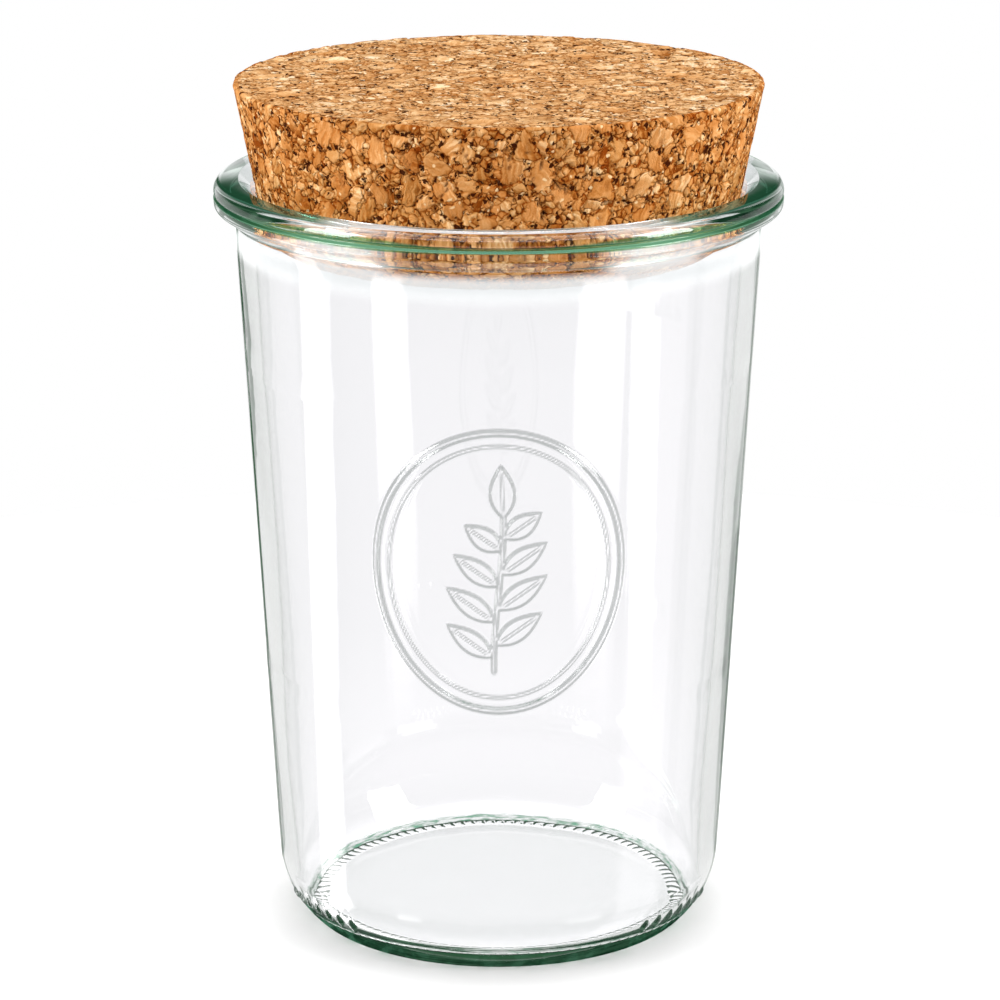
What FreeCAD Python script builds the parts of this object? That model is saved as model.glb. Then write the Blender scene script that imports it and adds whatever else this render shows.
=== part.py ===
"""Glass storage jar with a cork lid.

Two separate pieces: a pressed glass jar, a little wider at the top than at the foot, and a tapered lid of
agglomerated cork that wedges into its mouth and is pulled straight up to open the jar.

Millimetres, +Z up. The origin is the centre of the base, on the surface that the jar stands on.
"""

import FreeCAD, Part

import math
import os

# Jar: body. The rim and the wall are built outwards from the mouth.
JAR_HEIGHT = 147.6            # standing surface to the top of the rim
MOUTH_DIAMETER = 92.7         # narrowest circle of the mouth
BODY_TAPER_DEG = 3.09         # lean of the wall from upright, outside and inside alike
WALL = 3.4                    # thickness of the wall, measured level
FLOOR = 3.4                   # thickness of the base at its middle

# Jar: mouth, from the top of the rim downwards
BEVEL_WIDTH = 3.35            # sloped lead-in, level width from the rim's inner edge in to the mouth
BEVEL_DEPTH = 3.0             # and its depth
MOUTH_LAND = 2.4              # height of the narrow band of the mouth
MOUTH_ROUNDING = 1.2          # upper and lower edge of that band
RELIEF_WIDTH = 0.85           # how far the inside of the wall stands back from the mouth
RELIEF_DEPTH = 1.7            # height over which it does so
RELIEF_ROUNDING = 3.0

# Jar: bead round the rim, with a fine groove, from its inner edge outwards
LIP_ROUNDING = 0.4            # inner edge of the rim
BEAD_REACH = 4.8              # from that edge to the outside of the bead
BEAD_FALL = 0.2               # how far the top of the rim slopes down over that reach
BEAD_ROUNDING = 2.0           # upper outer edge
GROOVE_DROP = 3.15            # top of the rim to the deepest line of the groove
GROOVE_CUT = 1.6              # how far the groove is cut into the bead
GROOVE_ABOVE = 0.6            # height of its opening above the deepest line
GROOVE_BELOW = 0.25           # and below it
GROOVE_UPPER_ROUNDING = 0.4
GROOVE_LOWER_ROUNDING = 0.25
GROOVE_ROUNDING = 0.12
BEAD_HEIGHT = 5.0             # top of the rim to the lower edge of the bead
BEAD_LOWER_ROUNDING = 1.2
NECK_DROP = 7.8               # top of the rim to where the sloped underside of the bead meets the wall
NECK_ROUNDING = 1.0

# Jar: heel and foot
HEEL_HEIGHT = 5.6             # where the slope of the heel would meet the wall
HEEL_INSET = 5.5              # from the wall in to where that slope would meet the standing surface
HEEL_ROUNDING = 18.0
HEEL_WALL = 3.2               # thickness of the glass behind that slope
INNER_HEEL_ROUNDING = 8.0     # inside, where the wall meets the slope
INNER_FLOOR_ROUNDING = 2.2    # and where the slope meets the base
FOOT_ROUNDING = 2.5
BEARING_WIDTH = 3.9           # ring that the jar stands on
BEARING_ROUNDING = 0.6        # its inner edge
PUSH_UP = 0.6                 # height of the middle of the underside above the standing surface
PUSH_UP_SLOPE = 1.6           # level width of the slope between the bearing ring and that middle
PUSH_UP_ROUNDING = 0.8

# Lid
LID_HEIGHT = 31.6
LID_TAPER_DEG = 11.2          # lean of its side from upright
LID_DEPTH = 9.7               # how far it reaches below the circle that it wedges on
LID_LEAD_IN_HEIGHT = 5.0      # slope round its lower edge
LID_LEAD_IN_WIDTH = 6.5       # and the level width of that slope
LID_LEAD_IN_ROUNDING = 3.0
LID_EDGE_ROUNDING = 0.7
LID_CLEARANCE = 0.3           # room left between the cork and the glass at that circle


def rounded_section(corners):
    """Face in the XZ plane through corners given as (distance from the axis, height, rounding).

    Each corner with a rounding becomes a tangent arc. Two roundings that need more than the straight run
    between them share that run.
    """
    points = [FreeCAD.Vector(radius, 0, height) for radius, height, _ in corners]
    count = len(points)
    runs = [points[(i + 1) % count] - points[i] for i in range(count)]
    turns = [runs[i - 1].getAngle(runs[i]) for i in range(count)]
    trims = [rounding * math.tan(turn / 2) for (_, _, rounding), turn in zip(corners, turns)]
    shares = []
    for i in range(count):
        wanted = trims[i] + trims[(i + 1) % count]
        shares.append(min(1.0, runs[i].Length / wanted) if wanted > 0 else 1.0)
    trims = [trims[i] * min(shares[i - 1], shares[i]) for i in range(count)]

    starts, ends, edges = [], [], []
    for i in range(count):
        into = runs[i - 1] / runs[i - 1].Length
        out = runs[i] / runs[i].Length
        starts.append(points[i] - into * trims[i])
        ends.append(points[i] + out * trims[i])
        if trims[i] > 0:
            rounding = trims[i] / math.tan(turns[i] / 2)
            towards_centre = (out - into).normalize()
            middle = points[i] + towards_centre * (math.hypot(rounding, trims[i]) - rounding)
            edges.append(Part.Arc(starts[i], middle, ends[i]).toShape())
    for i in range(count):
        following = starts[(i + 1) % count]
        if (following - ends[i]).Length > Part.Precision.confusion():
            edges.append(Part.makeLine(ends[i], following))
    return Part.Face(Part.Wire(Part.sortEdges(edges)[0]))


def turned(corners):
    """Solid made by turning a rounded section once round the Z axis."""
    section = rounded_section(corners)
    return section.revolve(FreeCAD.Vector(0, 0, 0), FreeCAD.Vector(0, 0, 1), 360)


def glass_jar():
    """One hollow body: foot, heel, leaning wall, beaded rim, mouth, inside wall and base."""
    mouth = MOUTH_DIAMETER / 2
    land_top = JAR_HEIGHT - BEVEL_DEPTH
    land_bottom = land_top - MOUTH_LAND
    relief_bottom = land_bottom - RELIEF_DEPTH
    lip = mouth + BEVEL_WIDTH
    bead = lip + BEAD_REACH
    groove = JAR_HEIGHT - GROOVE_DROP
    neck = JAR_HEIGHT - NECK_DROP
    floor_top = PUSH_UP + FLOOR
    lean = math.tan(math.radians(BODY_TAPER_DEG))

    def wall_inside(height):
        return mouth + RELIEF_WIDTH - (relief_bottom - height) * lean

    def wall_outside(height):
        return wall_inside(height) + WALL

    foot = wall_outside(0) - HEEL_INSET
    bearing_inside = foot - BEARING_WIDTH
    heel_slope = math.atan2(HEEL_HEIGHT, wall_outside(HEEL_HEIGHT) - foot)

    def heel_inside(height):
        rise = height - HEEL_WALL * math.cos(heel_slope)
        return foot - HEEL_WALL * math.sin(heel_slope) + rise / math.tan(heel_slope)

    inner_heel = (wall_inside(0) - heel_inside(0)) / (1 / math.tan(heel_slope) - lean)
    outside = [
        (0, PUSH_UP, 0),
        (bearing_inside - PUSH_UP_SLOPE, PUSH_UP, PUSH_UP_ROUNDING),
        (bearing_inside, 0, BEARING_ROUNDING),
        (foot, 0, FOOT_ROUNDING),
        (wall_outside(HEEL_HEIGHT), HEEL_HEIGHT, HEEL_ROUNDING),
        (wall_outside(neck), neck, NECK_ROUNDING),
        (bead, JAR_HEIGHT - BEAD_HEIGHT, BEAD_LOWER_ROUNDING),
        (bead, groove - GROOVE_BELOW, GROOVE_LOWER_ROUNDING),
        (bead - GROOVE_CUT, groove, GROOVE_ROUNDING),
        (bead, groove + GROOVE_ABOVE, GROOVE_UPPER_ROUNDING),
        (bead, JAR_HEIGHT - BEAD_FALL, BEAD_ROUNDING),
    ]
    inside = [
        (lip, JAR_HEIGHT, LIP_ROUNDING),
        (mouth, land_top, MOUTH_ROUNDING),
        (mouth, land_bottom, MOUTH_ROUNDING),
        (wall_inside(relief_bottom), relief_bottom, RELIEF_ROUNDING),
        (wall_inside(inner_heel), inner_heel, INNER_HEEL_ROUNDING),
        (heel_inside(floor_top), floor_top, INNER_FLOOR_ROUNDING),
        (0, floor_top, 0),
    ]
    return turned(outside + inside)


def cork_lid():
    """Tapered plug with a sloped lower edge, whose side clears the rounded upper edge of the mouth's narrow band."""
    lean = math.radians(LID_TAPER_DEG)
    bevel_lean = math.atan2(BEVEL_WIDTH, BEVEL_DEPTH)
    seat_height = JAR_HEIGHT - BEVEL_DEPTH - MOUTH_ROUNDING * math.tan(bevel_lean / 2)
    seat_centre = MOUTH_DIAMETER / 2 + MOUTH_ROUNDING
    seat_radius = seat_centre - (MOUTH_ROUNDING + LID_CLEARANCE) / math.cos(lean)
    bottom = seat_height - LID_DEPTH
    top = bottom + LID_HEIGHT

    def side(height):
        return seat_radius + (height - seat_height) * math.tan(lean)

    slope_top = bottom + LID_LEAD_IN_HEIGHT
    return turned([
        (0, bottom, 0),
        (side(slope_top) - LID_LEAD_IN_WIDTH, bottom, LID_LEAD_IN_ROUNDING),
        (side(slope_top), slope_top, LID_LEAD_IN_ROUNDING),
        (side(top), top, LID_EDGE_ROUNDING),
        (0, top, 0),
    ])


def main():
    os.makedirs("parts", exist_ok=True)
    for name, shape in (("glass_jar", glass_jar()), ("cork_lid", cork_lid())):
        shape.exportStep(f"parts/{name}.step")
        box = shape.optimalBoundingBox(False)
        print(f"{name}: valid {shape.isValid()}, {shape.Volume / 1000:.1f} ml, {box.XLength:.2f} mm across, "
              f"{box.ZMin:.2f} to {box.ZMax:.2f} mm high")


main()
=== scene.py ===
"""Glass storage jar with a tapered cork lid: its fine shapes and finishes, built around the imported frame.

Shapes are written in millimetres and become metres where a mesh is made. The axis of jar and lid is Z, the
foot stands on Z = 0, and the front, with the raised medallion, looks along -Y.
"""
import itertools
import math

import bpy
import numpy as np
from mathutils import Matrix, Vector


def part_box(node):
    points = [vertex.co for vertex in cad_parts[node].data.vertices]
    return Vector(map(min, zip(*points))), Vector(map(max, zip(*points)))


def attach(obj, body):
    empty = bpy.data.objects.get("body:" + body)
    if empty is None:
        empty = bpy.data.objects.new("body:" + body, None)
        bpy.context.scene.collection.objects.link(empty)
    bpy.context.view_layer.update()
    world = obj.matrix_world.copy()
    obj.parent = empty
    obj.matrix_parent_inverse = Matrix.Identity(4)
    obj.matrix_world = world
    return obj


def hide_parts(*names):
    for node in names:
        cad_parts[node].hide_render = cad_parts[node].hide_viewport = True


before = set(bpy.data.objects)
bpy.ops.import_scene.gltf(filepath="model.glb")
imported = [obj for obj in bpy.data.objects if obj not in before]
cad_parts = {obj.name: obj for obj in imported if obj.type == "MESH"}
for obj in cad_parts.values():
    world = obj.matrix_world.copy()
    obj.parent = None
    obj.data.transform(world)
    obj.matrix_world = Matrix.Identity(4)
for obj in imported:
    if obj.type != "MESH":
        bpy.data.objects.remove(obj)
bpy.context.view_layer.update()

MM = 0.001
FULL_TURN = 2.0 * math.pi

# Jar, in millimetres: the section of the solid, apart from its underside, which is pushed up less here
JAR_TOP = 147.6
RIM_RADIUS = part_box("glass_jar")[1].x / MM
MOUTH_RADIUS = 46.35
MOUTH_LAND = 2.4  # height of the mouth's narrow band
MOUTH_ROUNDING = 1.2
BEVEL_WIDTH = 3.35  # sloped lead-in between the rim and that band
BEVEL_DEPTH = 3.0
LIP_ROUNDING = 0.4  # inner edge of the rim
BEAD_HEIGHT = 5.0
BEAD_FALL = 0.2  # how far the top of the rim slopes down outwards
BEAD_ROUNDING = 2.0
BEAD_LOWER_ROUNDING = 1.2
GROOVE_DROP = 3.15  # top of the rim to the deepest line of the bead's groove
GROOVE_CUT = 1.6
GROOVE_ABOVE = 0.6  # opening above that line
GROOVE_BELOW = 0.25  # and below it
GROOVE_UPPER_ROUNDING = 0.4
GROOVE_LOWER_ROUNDING = 0.25
GROOVE_ROUNDING = 0.12
NECK_HEIGHT = 139.8  # where the sloped underside of the bead meets the wall
NECK_ROUNDING = 1.0
WALL = 3.4
WALL_LEAN = math.tan(math.radians(3.09))
WALL_TOP = JAR_TOP - 7.1
WALL_INSIDE_TOP = 47.2  # inside radius at that height
WALL_TOP_ROUNDING = 3.0
HEEL_HEIGHT = 5.6
HEEL_ROUNDING = 18.0
INNER_HEEL_RADIUS = 40.0
INNER_HEEL_HEIGHT = 6.85
INNER_HEEL_ROUNDING = 8.0
FLOOR_TOP = 4.0
FLOOR_EDGE_RADIUS = 37.04  # where the floor meets the slope inside the heel
FLOOR_EDGE_ROUNDING = 2.2
FOOT_RADIUS = 37.5
FOOT_ROUNDING = 2.5
BEARING_INSIDE = 33.6  # inner edge of the ring that the jar stands on
BEARING_ROUNDING = 0.6
PUSH_UP = 0.12  # height of the middle of the underside
PUSH_UP_RADIUS = 29.6
PUSH_UP_ROUNDING = 0.8

# Raised and sunk marks on the glass, in millimetres
KNURLS = 102  # short ribs that the jar stands on
KNURL_RADIUS = 35.4
KNURL_HALF_LENGTH = 1.3
KNURL_HALF_WIDTH = 0.55
KNURL_DEPTH = 0.32
KNURL_BEND = 0.16  # how far a rib's ends bend aside, in rib spacings
KNURL_FLAT = 0.85  # share of the length with the full depth
MOULD_RING_HALF_WIDTH = 0.5  # fine ring round the middle of the underside
MOULD_RING_RELIEF = 0.05
MEDALLION_HEIGHT = 82.5  # of its middle
MEDALLION_HALF_WIDTH = 24.6
MEDALLION_HALF_HEIGHT = 28.2
MEDALLION_RELIEF = 0.5
MEDALLION_MARGIN = 0.8  # plain strip round it that has its fine mesh
RING_HALF_WIDTH = 1.0
INNER_RING_INSET = 3.6  # from the edge in to the line of the finer ring
INNER_RING_HALF_WIDTH = 0.6
INNER_RING_RELIEF = 0.5 * MEDALLION_RELIEF
STEM_HALF_WIDTH = 0.75
STEM_RELIEF = 0.8 * MEDALLION_RELIEF
STEM_SWAY = 0.9
STEM_WAVE = 9.0  # height over which the sway turns by one radian
STEM_WAVE_START = 4.0
STEM_FOOT = (-20.5, -19.0)  # heights of nothing and of the full stem
STEM_TIP = (13.0, 11.0)
LEAF_PAIRS = ((-15.5, 11.5), (-8.5, 12.0), (-1.5, 11.0), (5.5, 9.0))  # height on the stem, and length
LEAF_HALF_WIDTH = 2.5
LEAF_LEAN = 0.95  # radians from upright
LEAF_STAGGER = 1.2  # one of a pair down and the other up
LEAF_BORDER = 1.0  # width of a leaf's sloped border
LEAF_RIB_HALF_WIDTH = 0.55
LEAF_RIB_DEPTH = 0.45  # share of the leaf's relief
LEAF_RIB_FOOT = (0.05, 0.2)  # in leaf lengths
LEAF_RIB_TIP = (0.95, 0.75)
LEAF_SKEW = 0.85  # below 1, a leaf is widest nearer its base
LEAF_FULLNESS = 0.9  # below 1, its ends are blunter
TOP_LEAF = {"base": (0.9, 10.5), "lean": -0.05, "length": 11.0, "half_width": 2.7}
HEEL_MARK_SECTOR = (40.0, 74.0)  # degrees from the front, to either side
HEEL_MARK_PITCH = 4.8  # degrees
HEEL_MARK_HEIGHT = 6.2
HEEL_MARK_INSET = 1.2  # of the rounded heel from the line of the wall
HEEL_MARK_HALF_WIDTH = 1.25
HEEL_MARK_HALF_HEIGHT = 2.1
HEEL_MARK_RELIEF = 0.4
HEEL_MARK_FLAT = 0.35  # share of a lozenge with the full relief
HEEL_MARKS_END = 11.0  # height up to which the heel has a fine mesh
RIPPLES = (  # waves of the inside wall: height, number round the jar, phase, slant
    (0.050, 3, 1.1, 55.0),
    (0.035, 5, -0.6, -38.0),
    (0.020, 9, 2.0, 23.0),
    (0.012, 14, 0.0, 15.0),
)
RIPPLE_START = (FLOOR_TOP + 4.0, FLOOR_TOP + 30.0)  # heights of none and of full waves
RIPPLE_END = (WALL_TOP, WALL_TOP - 25.0)

# Lid, in millimetres
LID_BOTTOM, LID_TOP = (corner.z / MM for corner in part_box("cork_lid"))
LID_TOP_RADIUS = 50.34
LID_SIDE_BOTTOM = LID_BOTTOM + 5.0
LID_SIDE_BOTTOM_RADIUS = 45.07
LID_BOTTOM_RADIUS = 38.57
LID_EDGE = 0.45
LID_LOWER_EDGE = 3.0
LID_LIFT = 0.2  # moves the surface out, so that it lies on either side of the solid's
GRANULE_SIZE = 3.1
GRANULE_SALT = 0.3
GRANULE_TONE_SALT = 5.0
GRANULE_DEPTH = 0.10  # how far a granule may stand back as a whole
SEAM_DEPTH = 0.16
PIT_DEPTH = 0.85
CRUMBLE_DEPTH = 0.12  # of the granules along the lid's edges
SEAM_LEAD = (0.16, 0.0)  # of the nearest seed over the second, in granule sizes
PIT_LEAD = (0.15, 0.03)  # and over the third
PIT_TONES = (0.4, 0.6)  # of granules that have pits
CRUMBLE_REACH = (1.6, 0.2)  # from the lid's edges
CRUMBLE_TONES = (0.55, 0.9)
EDGE_CALM = 2.0  # strip along those edges where the relief falls to a share
EDGE_RELIEF = 0.3
CUT_FACE_DROP = 1.2  # the cut face lies this near the top and this far in from its edge
CUT_FACE_INSET = 0.9

# Cork granules as colour and bump: lengths in millimetres, tones and shares from 0 to 1
CHIP_WANDER = ((0.35, 1.8), (1.2, 0.36), (3.0, 0.14))  # scale and reach of the noises that tear the outlines
CRUMB_RATIO = 2.9  # chip size to crumb size
CHIP_TONE = (0.44, 0.34)  # spread of the tones, and the darkest
CRUMB_TONE = (0.66, 0.25)
LINE_SCALE = (0.2, 0.35, 1.8)  # fine lines across each granule
GRANULE_SPIN = 6.3  # largest turn of those lines, in radians
LINE_LIMITS = (0.30, 0.70)  # of their noise
GRIT_SCALE = 3.5
FRINGE_SCALE = 0.5  # noise that says where chips have a fringe
FRINGE_LIMITS = (0.40, 0.62)
SEAM_SCALE = 0.8  # noise that says where seams show
SEAM_LIMITS = (0.46, 0.60)
SEAM_STRENGTH = (0.70, 0.05)  # more there, and everywhere
SEAM_EDGE = (0.2, 1.0)  # in seam widths
GRAIN_WANDER = (1.6, 1.1)  # grains that fall out and leave holes
GRAIN_SCALE = 1.15
HOLE_EDGE = (0.62, 0.50)
SPECK_SCALE = 0.6
SPECK_RARITY = 0.72
SPECK_EDGE = (0.26, 0.16)
SPECK_SHARE = 0.8
# The tilt's share of the tone is painted shade: each granule lighter on one side, as if its lean caught the
# light
TONE_BY = {"lines": 0.45, "tilt": 0.10, "grit": 0.30}
EDGE_SHADE_TONE = (0.0, 0.32, -0.34, 0.03)  # painted shade, darker towards a granule's edge: distances from the edge, and tone added at each
EDGE_HEIGHT = (0.0, 0.45)
HEIGHT_BY = {"tone": 0.15, "edge": 0.20, "tilt": 0.26, "lines": 0.06, "grit": 0.10, "hole": -0.35}
SPECK_COLOUR = (0.93, 0.66, 0.36, 1.0)
# Near black of the seams, which are dark joints, and of the holes and pits, where it is painted shade
GAP_AND_SHADE_COLOUR = (0.036, 0.0045, 0.0004, 1.0)
GAP_SHARE = 0.97
PIT_DARK = (0.7, 1.0)  # limits of the pits as shape, which are painted dark as their shade
CORK_ROUGHNESS = (0.92, 0.66)  # dark and pale
CORK_SHINE = 0.03
CORK_SIDE = {
    "values": {"Chip Size": 4.2, "Crumb Share": 0.26, "Fringe": 0.7, "Seam Width": 0.17, "Hole Share": 0.38},
    "stops": [(0.0, (0.23, 0.046, 0.003)), (0.2, (0.40, 0.128, 0.020)), (0.45, (0.55, 0.222, 0.056)),
              (0.7, (0.66, 0.305, 0.098)), (0.88, (0.75, 0.395, 0.155)), (1.0, (0.88, 0.550, 0.270))],
    "warm": (1.0, 0.90, 0.82, 1.0),
    "cool": (0.98, 1.05, 1.14, 1.0),
}
# The cut top's paler colours are partly painted light from above
CORK_CUT_FACE = {
    "values": {"Chip Size": 5.2, "Crumb Share": 0.25, "Fringe": 1.1, "Seam Width": 0.15, "Hole Share": 0.27},
    "stops": [(0.0, (0.34, 0.115, 0.022)), (0.2, (0.49, 0.215, 0.065)), (0.45, (0.63, 0.318, 0.118)),
              (0.7, (0.75, 0.430, 0.190)), (0.88, (0.86, 0.560, 0.300)), (1.0, (0.97, 0.730, 0.470))],
    "warm": (1.0, 0.94, 0.88, 1.0),
    "cool": (1.0, 1.04, 1.1, 1.0),
}

# Glass: painted shade, as colours that it passes where a mask lies, and painted glow, as colours that it
# gives off there
WHITE = (1.0, 1.0, 1.0, 1.0)
BLACK = (0.0, 0.0, 0.0, 1.0)
# Painted shade: grey passed on the medallion's steep sides
EDGE_SHADE_PASSES = (0.36, 0.38, 0.37, 1.0)
# Painted dark green shade in the groove's band
BAND_SHADE_PASSES = (0.05, 0.20, 0.10, 1.0)
# Painted dark green shade on the heel's lowest edge
HEEL_SHADE_PASSES = (0.020, 0.150, 0.065, 1.0)
# Painted veil in the neck: dim grey passed, under a pale painted glow
NECK_VEIL_PASSES = (0.16, 0.17, 0.17, 1.0)
# Painted dark green shade on the rim's top
RIM_SHADE_PASSES = (0.006, 0.045, 0.022, 1.0)
BAND_GLOW = ((0.010, 0.045, 0.022, 1.0), (0.040, 0.115, 0.045, 1.0))  # painted glow along the groove, narrow and swollen
# Painted pale glow in the neck
NECK_GLOW = (0.52, 0.525, 0.53, 1.0)
# Faint painted glow on the rim's top
RIM_GLOW = (0.004, 0.026, 0.014, 1.0)
# Painted green glow where light is trapped in the glass
TRAPPED_GLOW_STOPS = [(0.36, (0.003, 0.018, 0.008)), (0.5, (0.012, 0.050, 0.024)), (0.66, (0.065, 0.145, 0.088))]
TRAPPED_GLOW_SCALE = (0.12, 0.12, 1.0)  # of the streaks of painted green glow that trapped light ends in
GLASS_DEPTH = (0.10, 0.78, 0.50, 1.0)
GLASS_DENSITY = 0.6
GLASS_IOR = 1.52
GLASS_SHADOW = (0.76, 0.76, 0.76, 1.0)
GLASS_WAVES = 0.09  # scale of the faces' unevenness
GLASS_WAVE_HEIGHT = 0.02

# Glass masks of the painted shade and glow: limits (nothing at, full at) in millimetres, or of a slope or
# wave
# Slopes that carry the medallion's painted shade
EDGE_SHADE_SLOPES = (0.08, 0.65)
RIM_SWELLS = 3.0  # times that the rim's painted shade swells on the way round
RIM_SWELL = (0.34, 0.75)
RIM_INNER = (46.8, 48.6)  # off the axis
RIM_OUTER = (54.1, 53.4)
RIM_DROP = (2.6, 1.6)  # below the top of the rim
BAND_SWELLS = 5.0  # times that the painted green band and the neck's painted glow swell
BAND_UPPER = (2.45, 2.95)
BAND_LOWER = (3.65, 3.45)
BAND_UPPER_SWELL = 1.4
BAND_LOWER_SWELL = 0.45
BAND_REACH = 2.2  # from the outside of the bead inwards
NECK_UPPER = (3.6, 3.9)
NECK_LOWER = (15.0, 11.0)
NECK_SHOULDER = (8.1, 10.4)  # below this the light goes all round
NECK_SWELL = (0.55, 0.95)
NECK_STREAK_SCALE = (0.06, 0.06, 1.1)
NECK_STREAKS = (0.30, 0.62, 0.45, 1.0)  # limits of their noise, and share at each
# Limits of the heel's painted shade
HEEL_RISE = (2.7, 1.3)
HEEL_OUTER = (FOOT_RADIUS - 1.2, FOOT_RADIUS - 0.6)
HEEL_STREAK_SCALE = (0.35, 0.35, 1.6)
HEEL_STREAKS = (0.32, 0.62, 1.0, 0.35)

# Camera, lamps and table, in metres and degrees
CAMERA_PLACE = (0.00025, -0.7533, 0.3007)
CAMERA_PITCH = 16.13
CAMERA_LENS = 144.36
CAMERA_SENSOR = 36.0
CAMERA_CLIP = (0.01, 20.0)
LAMP_TARGET = (0.0, 0.0, 0.09)
LAMPS = (  # name, place, width and height, watts
    ("lamp_over", (0.0, 0.2, 1.05), (0.7, 0.7), 3.2),
    ("lamp_left", (-1.15, -0.42, 0.45), (0.5, 0.8), 17.0),
    ("lamp_right", (1.15, -0.42, 0.45), (0.5, 0.8), 17.0),
)
TABLE_RADIUS = 0.30
TABLE_LEVEL = -0.0001
TABLE_SIDES = 96
TABLE_PAINT = (0.66, 0.66, 0.66, 1.0)
# Painted dark green shade under the jar, seen in reflections from outside
UNDER_JAR_SHADE_STOPS = [(0.42, (0.002, 0.018, 0.010)), (0.5, (0.012, 0.080, 0.040)), (0.59, (0.090, 0.270, 0.170))]
UNDER_JAR_SHADE_SCALE = 0.3
THROUGH_GLASS = (1.015, 1.0, 1.03, 1.0)  # white that glass shows, set against its green
TABLE_GLOW = (39.0, 56.0, 0.0, 0.4)  # painted light on the table away from the jar, leaving the ground round the foot darker: millimetres from the axis, and strength at each
# Painted light: the table seen through glass is brighter near the jar and under its base
THROUGH_NEAR = (60.0, 34.0, 0.0, 0.24)
THROUGH_FAR = (200.0, 90.0, 1.0, 1.05)
# Reach of the painted shade under the jar
UNDER_JAR_SHADE = (46.0, 40.0)

# Studio in reflections: azimuths from the front (-Y), to the right positive, and rises, in degrees
STUDIO_SHADE = (0.030, 0.095, 0.045, 1.0)
STUDIO_FILL = (0.55, 0.55, 0.55, 1.0)  # on matt surfaces
PANEL_FOOT = -19.4  # rise at which a leaning panel has its own azimuth
PANELS = (  # middle, half width, soft edge, lowest, highest, strength, lean per degree of rise
    (-50.0, 5.5, 3.0, -21.5, -17.5, 8.0, 0.0),
    (47.5, 8.5, 3.0, -21.5, -17.5, 6.0, 0.0),
    (-93.0, 6.0, 3.0, -60.0, 0.0, 4.0, 1.3),
    (82.0, 13.0, 3.0, -60.0, 0.0, 0.7, 0.0),
)
PANEL_BOTTOM_EDGE = 4.0
PANEL_TOP_EDGE = 1.5
STUDIO_TABLE = ((-14.0, -27.0, 0.0, 0.45), (-55.0, -38.0))  # limits of rise, and light at each
STUDIO_CEILING = (25.0, 65.0, 0.0, 1.2)
STUDIO_RING = ((42.0, 44.0), (50.0, 48.0))  # bright ring overhead
STUDIO_RING_LIGHT = 4.0
STUDIO_PALE_BELOW = (18.0, 4.0)  # where it shows white through glass
STUDIO_PALE_ABOVE = (35.0, 75.0)
BACKDROP = (100.0, 104.0)  # azimuth to either side from which the back wall stands
BACKDROP_LIGHT = (101.0, 150.0, 0.7, 0.95)
BACKDROP_BEFORE = ((-18.0, -15.0), (-5.0, -9.0))  # rises at which a low wall goes on round the front
BACKDROP_TOP = (14.0, 4.0)
BACKDROP_STRIPES = ((-164.0, 0.97), (164.0, 0.6))  # dark uprights: middle, and how dark
BACKDROP_STRIPE = (3.0, 2.0)  # half width and soft edge


def smooth(low, high, value):
    """Smoothstep: 0 at low, 1 at high, and 3t^2 - 2t^3 between them."""
    t = np.clip((value - low) / (high - low), 0.0, 1.0)
    return t * t * (3.0 - 2.0 * t)


def bead(distance, half_width, height):
    """Rounded ridge: half a cosine wave across its width, nothing beyond it."""
    t = np.clip(np.abs(distance) / half_width, 0.0, 1.0)
    return height * 0.5 * (1.0 + np.cos(math.pi * t))


def rounded_line(corners, step):
    """Points along a line through (radius, height, rounding) corners.

    A rounding R at a turn of angle a trims both runs by R tan(a / 2) and is replaced by the tangent arc, with
    points about one step apart.
    """
    points = np.array([corner[:2] for corner in corners], float)
    runs = np.diff(points, axis=0)
    lengths = np.linalg.norm(runs, axis=1)
    heading = np.unwrap(np.arctan2(runs[:, 1], runs[:, 0]))
    line = [points[:1]]
    for i, turn in enumerate(np.diff(heading), start=1):
        rounding = corners[i][2]
        into = runs[i - 1] / lengths[i - 1]
        trim = rounding * math.tan(abs(turn) / 2)
        start = points[i] - into * trim
        left = math.copysign(1.0, turn) * np.array([-into[1], into[0]])
        centre = start + left * rounding
        count = max(2, int(rounding * abs(turn) / step) + 2)
        swing = np.linspace(0.0, turn, count)[:, None]
        spoke = start - centre
        turned = np.hstack([
            spoke[0] * np.cos(swing) - spoke[1] * np.sin(swing),
            spoke[0] * np.sin(swing) + spoke[1] * np.cos(swing),
        ])
        line.append(centre + turned)
    line.append(points[-1:])
    return np.vstack(line)


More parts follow.
